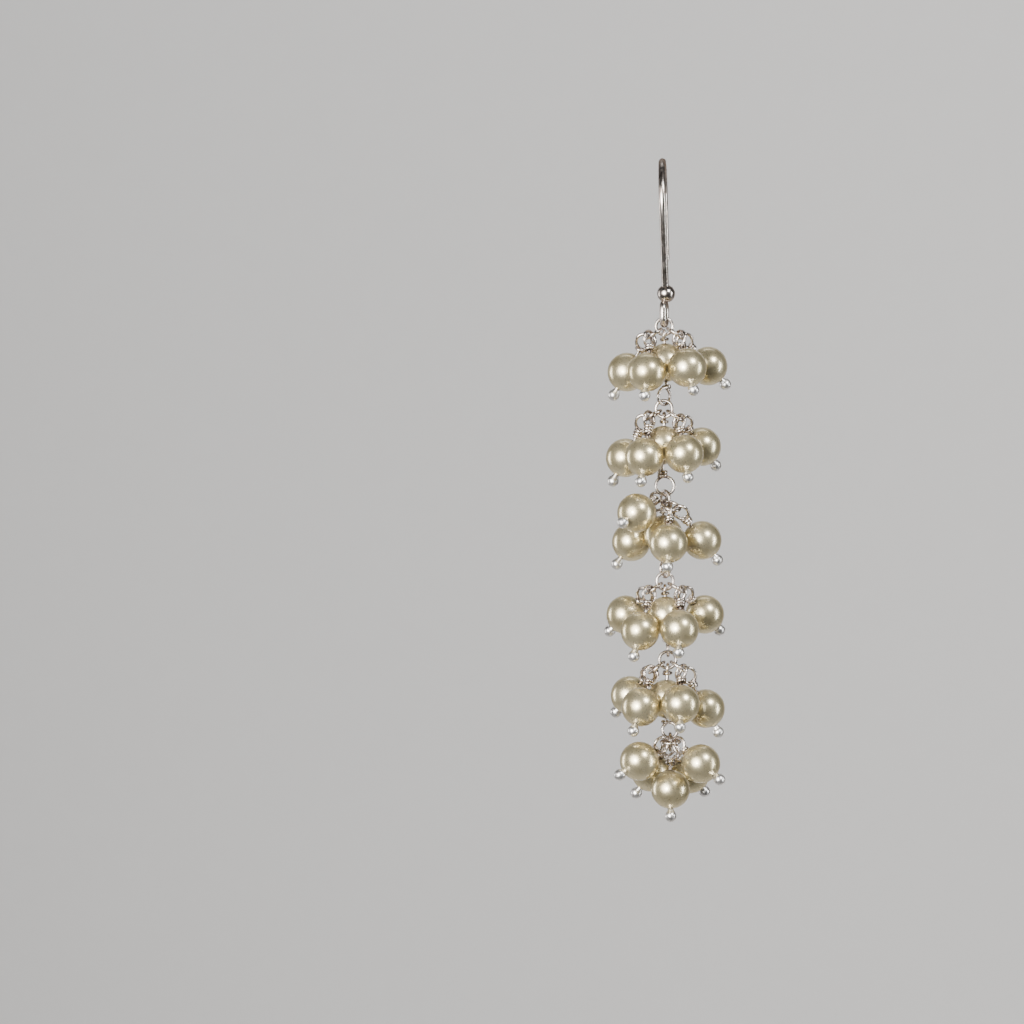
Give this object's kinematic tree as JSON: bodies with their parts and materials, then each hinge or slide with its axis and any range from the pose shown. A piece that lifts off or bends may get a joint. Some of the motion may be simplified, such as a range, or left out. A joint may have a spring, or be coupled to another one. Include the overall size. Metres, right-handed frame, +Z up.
{
  "type": "cluster earring",
  "caption": "Long dangling earring: a french ear hook that carries a chain of rings, with round pearls wired on in clusters.",
  "frame": {"origin": "underside of the ear hook's bend, where the ear carries it", "axes": "+Z up, -Y the way the wearer looks, +X to the left in the worn place"},
  "size_m": [0.0131, 0.0115, 0.0679],
  "materials": {
    "silver": "polished",
    "pearl": "satin lustre"
  },
  "bodies": {
    "hook": {"ear_hook": "silver"},
    "drop": {"ring_1": "silver", "ring_2": "silver", "ring_3": "silver", "ring_4": "silver", "ring_5": "silver", "ring_6": "silver", "spine_pin_1": "silver", "spine_pin_2": "silver", "spine_pin_3": "silver", "spine_pin_4": "silver", "spine_pin_5": "silver", "links_1": "silver", "links_2": "silver", "links_3": "silver", "links_4": "silver", "links_5": "silver", "links_6": "silver", "head_pins_1": "silver", "head_pins_2": "silver", "head_pins_3": "silver", "head_pins_4": "silver", "head_pins_5": "silver", "head_pins_6": "silver", "pearl_1_spine": "pearl", "pearl_2_spine": "pearl", "pearl_3_spine": "pearl", "pearl_4_spine": "pearl", "pearl_5_spine": "pearl", "pearl_1_left": "pearl", "pearl_1_front_left": "pearl", "pearl_1_front_right": "pearl", "pearl_1_right": "pearl", "pearl_2_left": "pearl", "pearl_2_front_left": "pearl", "pearl_2_front_right": "pearl", "pearl_2_right": "pearl", "pearl_3_upper_left": "pearl", "pearl_3_lower_left": "pearl", "pearl_3_front": "pearl", "pearl_3_right": "pearl", "pearl_4_left": "pearl", "pearl_4_front_left": "pearl", "pearl_4_front_right": "pearl", "pearl_4_right": "pearl", "pearl_5_left": "pearl", "pearl_5_front_left": "pearl", "pearl_5_front_right": "pearl", "pearl_5_right": "pearl", "pearl_6_upper_left": "pearl", "pearl_6_upper_right": "pearl", "pearl_6_front": "pearl", "pearl_6_lower_left": "pearl", "pearl_6_lower_right": "pearl"}
  },
  "joints": [
    {"name": "drop_swing", "type": "hinge", "parent": "hook", "child": "drop", "pos_m": [0.00015, -0.00106, -0.01633], "axis": [0.2079, 0.9781, 0], "range_deg": [-60, 60]}
  ]
}
